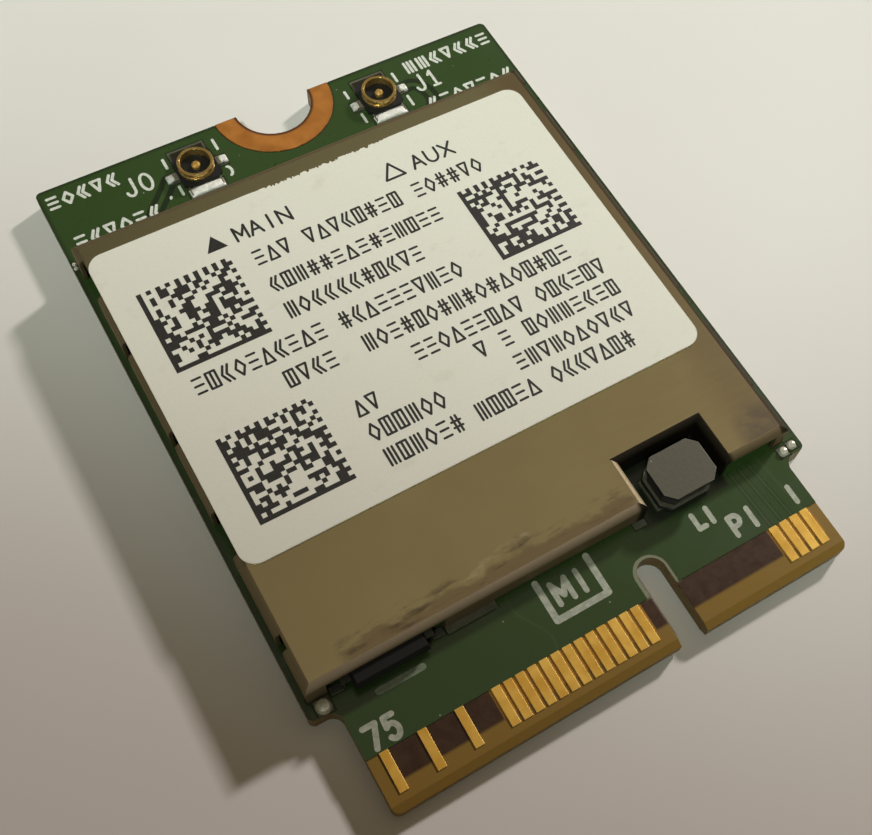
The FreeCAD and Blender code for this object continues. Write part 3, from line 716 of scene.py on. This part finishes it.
# White marks on the mask, in millimetres on the board
silkLook = {
    "seed": 41, "width": 0.22, "fineWidth": 0.13, "boxWidth": 0.27, "cell": 0.46, "pitch": 0.65,
    "codes": ((-10.7, -7.1, 13.92, 0.62), (6.35, 10.8, 13.78, 0.62)),
    "rows": ((-10.4, -6.6, 11.45, 0.7), (6.3, 10.8, 11.3, 0.7)),  # half hidden by the shield
    "socketMarks": (("J0", -7.6, 13.05), ("J1", 6.25, 12.6)), "socketSize": (0.52, 0.9, 0.72),
    "dashes": ((-5.55, 13.75, 14.25), (-5.5, 12.15, 12.6), (-3.2, 13.75, 14.3),
               (3.2, 13.7, 14.1), (3.3, 12.1, 12.6), (5.65, 13.6, 14.1), (5.65, 12.05, 12.6)),
    "hook": (-3.3, 12.42, 0.16, 0.26, 75, -75), "dot": (-6.05, 12.2, -6.02, 12.25),
    "box": ((-1.5, -10.3), (-1.5, -11.92), (0.76, -11.92), (0.76, -10.3)),
    "boldMarks": (("M|", -1.05, -11.45, 0.62, 0.86, 0.82),  # in the box
                  ("L|", 5.2, -11.55, 0.4, 0.62, 0.5),  # by the coil
                  ("P|", 6.35, -12.5, 0.5, 0.78, 0.72),  # by the tongue
                  ("|", 9.0, -12.5, 0.6, 0.7, 0.6),  # first contact
                  ("75", -9.56, -12.7, 0.52, 0.84, 0.72)),  # last contact
    "chipBar": (-8.4, -10.95, -6.62, -10.95), "chipBarWidth": 0.26,
}


def makeSilk(look):
    dice = np.random.default_rng(look["seed"])
    low, high = maskTop, maskTop + inkHeight
    fine = []
    for left, right, base, tall in look["codes"] + look["rows"]:
        fine += filledRow(dice, left, right, base, tall, look["cell"], look["pitch"], openMarks)
    for words, left, base in look["socketMarks"]:
        fine += lettering(words, left, base, *look["socketSize"])
    fine += [line(x, start, x, end) for x, start, end in look["dashes"]]
    fine += [arc(*look["hook"]), line(*look["dot"])]
    addPiece("silk_marks", *joinSets(inkSets(fine, look["fineWidth"], low, high)), "silkInk", "label_paper")
    bold = [stroke for mark in look["boldMarks"] for stroke in lettering(*mark)]
    worn = inkSets(bold, look["width"], low, high) + inkSets(chain(*look["box"]), look["boxWidth"], low, high)
    addPiece("worn_marks", *joinSets(worn), "wornInk", "label_paper")
    bar = bands([line(*look["chipBar"])], look["chipBarWidth"], low, high)
    addPiece("silk_bar", *bar, "thinInk", "label_paper")


makeSilk(silkLook)
print("silk marks printed")

# Label sheet: rounded corners, the far edge frayed over one stretch
labelLook = {"radius": 0.7, "columns": 1000, "rows": 8, "crowding": 0.6, "seed": 7, "frayDepth": 0.15,
             "frayX": (-3.4, -2.2, 2.2, 3.4), "teeth": 330, "toothPower": 2.2}
paperTop = labelHigh[2] - inkHeight


# For a column at x the sheet runs from near to far, less the corner's drop: r less the square root of
# r squared less the squared distance into the corner. The fray takes a jagged bite off the far end.
# Columns stand closer at the sides: a sine of the share is taken off the share.
def makeLabel(look):
    dice = np.random.default_rng(look["seed"])
    radius = look["radius"]
    left, right = labelLow[0], labelHigh[0]
    share = np.linspace(0, 1, look["columns"])
    x = left + (right - left) * (share - np.sin(2 * math.pi * share) / (2 * math.pi) * look["crowding"])
    into = np.maximum(np.maximum(left + radius - x, x - right + radius), 0)
    drop = radius - np.sqrt(np.maximum(radius ** 2 - into ** 2, 0))
    torn = np.interp(x, look["frayX"], (0, 1, 1, 0))
    bites = dice.random(look["teeth"]) ** look["toothPower"]
    teeth = np.interp(x, np.linspace(left, right, look["teeth"]), bites)
    near = labelLow[1] + drop
    far = labelHigh[1] - drop - look["frayDepth"] * torn * teeth
    along = np.linspace(0, 1, look["rows"])
    y = near[:, None] + (far - near)[:, None] * along[None, :]
    flat = np.stack([np.repeat(x[:, None], look["rows"], 1), y], axis=-1).reshape(-1, 2)
    points = np.concatenate([atLevel(flat, paperTop), atLevel(flat, labelLow[2])])
    size = y.size
    index = np.arange(size).reshape(y.shape)
    quads = gridQuads(index)
    rim = np.concatenate([index[:, 0], index[-1, 1:], index[-2::-1, -1], index[0, -2:0:-1]])
    after = np.roll(rim, -1)
    wall = np.stack([rim + size, after + size, after, rim], axis=-1)
    faces = np.concatenate([quads, quads[:, ::-1] + size, wall])
    piece = addPiece("label_sheet", points, faces, "labelPaper", "label_paper")
    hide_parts("label")


makeLabel(labelLook)

# Print on the label: two antenna marks, rows of filler marks and three square codes
printLook = {
    "seed": 23, "width": 0.11, "rowWidth": 0.1,
    "mainMark": ("MAIN", -4.75, 7.9, 0.5, 0.68, 0.65), "auxMark": ("AUX", 3.42, 7.82, 0.52, 0.68, 0.72),
    "fullTriangle": (-6.1, -5.2, 7.9, 8.65), "openTriangle": (2.05, 2.95, 7.82, 8.62),
    "rows": ((-4.55, 6.4, 6.45, 0.72), (-4.55, 3.45, 5.0, 0.68), (-4.5, 1.6, 3.6, 0.72),
             (-9.1, 2.65, 2.15, 0.74), (-5.9, 7.1, 0.8, 0.72), (-1.0, 8.2, -0.5, 0.72),
             (-4.2, -3.1, -1.6, 0.7), (1.2, 8.2, -1.6, 0.68), (-4.2, -0.4, -2.8, 0.74),
             (2.3, 8.2, -2.8, 0.68), (-4.1, 7.4, -4.0, 0.72)),
    "cell": 0.42, "pitch": 0.565,
    "codes": ((-9.4, 3.4, 4.0), (-9.36, -3.8, 3.9), (4.35, 2.0, 3.9)), "codeCells": 20, "codeFill": 0.5,
}


# Square code: dark cells of a chequer board, solid on two sides and every second cell on the other two.
# Each dark cell has a top and a bottom, and a wall wherever its neighbour is light.
def codeSet(dice, left, near, size, cells, fill, low, high):
    dark = dice.random((cells, cells)) < fill
    dark[0, :] = True
    dark[:, 0] = True
    dark[-1, :] = np.arange(cells) % 2 == 0
    dark[:, -1] = np.arange(cells) % 2 == 0
    step = size / cells
    column, row = np.nonzero(dark)
    corner = np.stack([left + step * column, near + step * row], axis=1)
    square = np.array([(0, 0), (step, 0), (step, step), (0, step)])
    flat = corner[:, None] + square[None]
    quads = [atLevel(flat, high), atLevel(flat[:, ::-1], low)]
    fringed = np.pad(dark, 1)
    for start, (stepX, stepY) in enumerate(((0, -1), (1, 0), (0, 1), (-1, 0))):
        bare = ~fringed[column + 1 + stepX, row + 1 + stepY]
        first = flat[bare, start]
        second = flat[bare, (start + 1) % 4]
        quads.append(np.stack([atLevel(first, low), atLevel(second, low),
                               atLevel(second, high), atLevel(first, high)], axis=1))
    points = np.concatenate(quads).reshape(-1, 3)
    return points, np.arange(len(points)).reshape(-1, 4)


# Prism over a triangle with its apex at the far side; a point half way up one side makes the faces four-sided
def triangleSet(left, right, near, far, low, high):
    middle = (left + right) / 2
    flat = np.array([(left, near), (right, near), ((right + middle) / 2, (near + far) / 2), (middle, far)])
    points = np.concatenate([atLevel(flat, low), atLevel(flat, high)])
    faces = np.array([(0, 1, 5, 4), (1, 2, 6, 5), (2, 3, 7, 6), (3, 0, 4, 7), (4, 5, 6, 7), (3, 2, 1, 0)])
    return points, faces


def makePrint(look):
    dice = np.random.default_rng(look["seed"])
    low, high = paperTop, labelHigh[2]
    left, right, near, far = look["openTriangle"]
    triangle = chain((left, near), (right, near), ((left + right) / 2, far), (left, near))
    paths = lettering(*look["mainMark"]) + lettering(*look["auxMark"]) + triangle
    rows = []
    for left, right, base, tall in look["rows"]:
        rows += filledRow(dice, left, right, base, tall, look["cell"], look["pitch"], len(fillMarks))
    sets = inkSets(paths, look["width"], low, high) + inkSets(rows, look["rowWidth"], low, high)
    for left, near, size in look["codes"]:
        sets.append(codeSet(dice, left, near, size, look["codeCells"], look["codeFill"], low, high))
    sets.append(triangleSet(*look["fullTriangle"], low, high))
    addPiece("label_print", *joinSets(sets), "blackInk", "label_paper")


makePrint(printLook)
print("label laid and printed")

# Copper under the mask: bands of bare gap and, on top of them, the raised traces
traceLook = {
    "gapWidth": 0.7, "gapLift": 0.0012, "traceWidth": 0.2, "traceLift": 0.0022, "sink": 0.002, "steps": 25,
    "feeds": (((-5.75, 13.1), (-5.95, 12.85), (-6.75, 12.0), (-7.3, 11.4)),
              ((5.75, 13.1), (6.2, 13.1), (6.45, 12.85), (6.45, 11.6))),
    "fineWidth": 0.1, "fineGap": 0.19, "fanNear": -12.8, "fanFar": -10.2,
    "fan": ((7.75, 7.6), (8.25, 8.05), (8.75, 8.5), (9.25, 8.95)),  # x at the near and at the far end
    "bends": (((-2.05, -12.8), (-2.05, -12.1), (-2.5, -11.3), (-2.7, -10.2)),
              ((-2.55, -12.8), (-2.6, -12.2), (-3.0, -11.3), (-3.15, -10.2))),
}


# Path through a few points, drawn as one cubic curve in the share of its length
def softPath(points, count):
    points = np.asarray(points, float)
    reach = np.r_[0, np.cumsum(np.linalg.norm(np.diff(points, axis=0), axis=1))]
    weight = np.linalg.lstsq(np.vander(reach / reach[-1], 4), points, rcond=None)[0]
    return np.vander(np.linspace(0, 1, count), 4) @ weight


def makeTraces(look):
    steps = look["steps"]
    feeds = [softPath(feed, steps) for feed in look["feeds"]]
    fine = [np.linspace((start, look["fanNear"]), (end, look["fanFar"]), steps) for start, end in look["fan"]]
    fine += [softPath(bend, steps) for bend in look["bends"]]
    low = maskTop - look["sink"]
    gapTop = maskTop + look["gapLift"]
    traceTop = maskTop + look["traceLift"]
    addPiece("feed_gaps", *bands(feeds, look["gapWidth"], low, gapTop), "maskOverGap", "solder_mask")
    addPiece("trace_gaps", *bands(fine, look["fineGap"], low, gapTop), "maskOverBare", "solder_mask")
    traces = [bands(feeds, look["traceWidth"], low, traceTop), bands(fine, look["fineWidth"], low, traceTop)]
    addPiece("traces", *joinSets(traces), "maskOverTrace", "solder_mask")


makeTraces(traceLook)
print("traces laid")

# Solder on the socket tabs, one pillow at the near side and one at each end
solderLook = {"sockets": ("main_socket_base", "aux_socket_base"), "height": 0.13, "steps": 17,
              "nearSize": (1.56, 0.42), "nearReach": 1.12, "sideSize": (0.36, 0.4), "sideReach": 1.22}


# Pillow whose height falls off both ways as the root of one less the fourth power, with a flat base
def pillow(x, y, wide, deep, low, height, steps):
    turn = np.sin(np.linspace(-math.pi / 2, math.pi / 2, steps))
    u, v = np.meshgrid(turn, turn, indexing="ij")
    rise = np.sqrt(np.maximum(1 - u ** 4, 0)) * np.sqrt(np.maximum(1 - v ** 4, 0))
    top = np.stack([x + u * wide / 2, y + v * deep / 2, low + height * rise], axis=-1).reshape(-1, 3)
    base = atLevel(top[:, :2], low)
    faces = gridQuads(np.arange(steps * steps).reshape(steps, steps))
    return np.concatenate([top, base]), np.concatenate([faces, faces[:, ::-1] + steps * steps])


def makeSolder(look):
    sets = []
    for socket in look["sockets"]:
        low, high = nodeBox(socket)
        x, y = (low[:2] + high[:2]) / 2
        tabs = [(x, y - look["nearReach"], *look["nearSize"])]
        tabs += [(x + side * look["sideReach"], y, *look["sideSize"]) for side in (-1, 1)]
        sets += [pillow(*tab, landTop, look["height"], look["steps"]) for tab in tabs]
    addPiece("socket_solder", *joinSets(sets), "tabSolder", "tin", smooth=True)


makeSolder(solderLook)
print("solder laid")

# Pale table top, which passes into the pale backdrop away from the card
backdrop = (0.56, 0.53, 0.47, 1.0)
floorLook = {"reach": 1500.0, "pale": paint(224, 222, 214), "warm": paint(218, 215, 207),
             "fade": (40.0, 105.0), "cloud": (0.05, 1.6), "grain": (2.0, 1.5), "gloss": (0.55, 0.7),
             "bump": (0.05, 0.02)}


# 1 for the rays that show the backdrop: from the camera, off a mirroring surface or through a clear one
def seenRays(tree):
    rays = addNode(tree, "ShaderNodeLightPath").outputs
    seen = mathNode(tree, "MAXIMUM", rays["Is Camera Ray"], rays["Is Glossy Ray"])
    return mathNode(tree, "MAXIMUM", seen, rays["Is Transmission Ray"])


def makeFloor(look):
    material, tree, shader = startMaterial("tableTop", {"Specular IOR Level": 0.25})
    place = placeOf(tree)
    cloud = grainOf(tree, place, *look["cloud"])
    colour = mixColour(tree, cloud, look["warm"], look["pale"])
    grain = grainOf(tree, place, *look["grain"])
    dressShader(tree, shader, colour, glossBy(tree, cloud, look["gloss"]), grain, *look["bump"])
    away = vectorNode(tree, "LENGTH", {0: place}, "Value")
    share = times(tree, seenRays(tree), ramp(tree, away, *look["fade"]))
    glow = addNode(tree, "ShaderNodeEmission", {"Color": backdrop}).outputs[0]
    mixed = addNode(tree, "ShaderNodeMixShader", {0: share, 1: shader.outputs[0], 2: glow}).outputs[0]
    tree.links.new(mixed, tree.nodes["Material Output"].inputs["Surface"])
    square = np.array([(-1, -1, 0), (1, -1, 0), (1, 1, 0), (-1, 1, 0)]) * look["reach"]
    floor = addMesh("table_top", square, [(0, 1, 2, 3)], material)


makeFloor(floorLook)
print("table laid")

# Soft light: a warm lamp low at the right, a cooler soft box with a grid above the viewer, and a dim room
lampLook = {
    "side_lamp": {"place": (442.0, 156.0, 257.0), "aim": (0.0, 0.0, 0.0), "size": (44.0, 44.0),
                  "spread": 180.0, "power": 2.07, "tint": (1.0, 0.91, 0.918)},
    "grid_lamp": {"place": (-78.0, -61.0, 198.0), "aim": (6.6, 30.2, 0.0), "size": (90.0, 51.0),
                  "spread": 9.8, "power": 0.0101, "tint": (0.855, 0.976, 0.945)},
}


def makeLamps(looks):
    for name, look in looks.items():
        light = bpy.data.lights.new(name, "AREA")
        light.shape = "RECTANGLE"
        light.size, light.size_y = (side * mm for side in look["size"])
        light.spread = math.radians(look["spread"])
        light.energy = look["power"]
        light.color = look["tint"]
        lamp = bpy.data.objects.new(name, light)
        lamp.location = Vector(look["place"]) * mm
        lamp.rotation_euler = (Vector(look["aim"]) * mm - lamp.location).to_track_quat("-Z", "Y").to_euler()
        bpy.context.scene.collection.objects.link(lamp)


makeLamps(lampLook)

# Room: dim and warm, with one paler stretch of ceiling that the shield mirrors, and shedding a warmer light.
# Toward the horizon the camera and the mirroring surfaces see a pale backdrop, which sheds no light.
roomLook = {"low": (0.099, 0.079, 0.05, 1.0), "high": (0.375, 0.325, 0.25, 1.0),
            "lowShed": (0.081, 0.058, 0.031, 1.0), "highShed": (0.308, 0.237, 0.155, 1.0),
            "ceiling": (0.33, 0.2, 0.92), "ceilingSpan": (0.8, 1.0), "backdropSpan": (0.75, 0.35)}


def makeRoom(look):
    world = bpy.data.worlds.new("room")
    world.use_nodes = True
    tree = world.node_tree
    way = addNode(tree, "ShaderNodeTexCoord").outputs["Generated"]
    toward = vectorNode(tree, "DOT_PRODUCT", {0: way, 1: look["ceiling"]}, "Value")
    share = ramp(tree, toward, *look["ceilingSpan"])
    shed = mixColour(tree, share, look["lowShed"], look["highShed"])
    band = ramp(tree, partsOf(tree, way)[2], *look["backdropSpan"])
    seen = mixColour(tree, band, mixColour(tree, share, look["low"], look["high"]), backdrop)
    tree.links.new(mixColour(tree, seenRays(tree), shed, seen), tree.nodes["Background"].inputs["Color"])
    bpy.context.scene.world = world


makeRoom(roomLook)
print("light set")

# Camera of the photograph: eye and aim in the card's frame, and a roll about the line of sight
cameraLook = {"eye": (-12.384, -20.940, 43.061), "aim": (1.497, -4.337, 0.875), "roll": 9.825,
              "imageSize": (872, 835), "focalPixels": 1192.05, "centrePixel": (520.96, 424.61),
              "sensor": 36.0, "clip": (1.0, 10000.0)}


def makeCamera(look):
    wide, tall = look["imageSize"]
    centreX, centreY = look["centrePixel"]
    camera = bpy.data.cameras.new("view")
    camera.sensor_width = look["sensor"]
    camera.lens = look["focalPixels"] / wide * look["sensor"]
    camera.shift_x = (wide / 2 - centreX) / wide
    camera.shift_y = (centreY - tall / 2) / wide
    camera.clip_start, camera.clip_end = (reach * mm for reach in look["clip"])
    eye = bpy.data.objects.new("view", camera)
    eye.location = Vector(look["eye"]) * mm
    sight = (Vector(look["aim"]) - Vector(look["eye"])).normalized()
    eye.rotation_mode = "QUATERNION"
    eye.rotation_quaternion = Quaternion(sight, math.radians(-look["roll"])) @ sight.to_track_quat("-Z", "Y")
    bpy.context.scene.collection.objects.link(eye)
    bpy.context.scene.camera = eye


makeCamera(cameraLook)
bpy.context.scene.view_settings.view_transform = "Standard"
print("camera set")

bpy.context.view_layer.update()
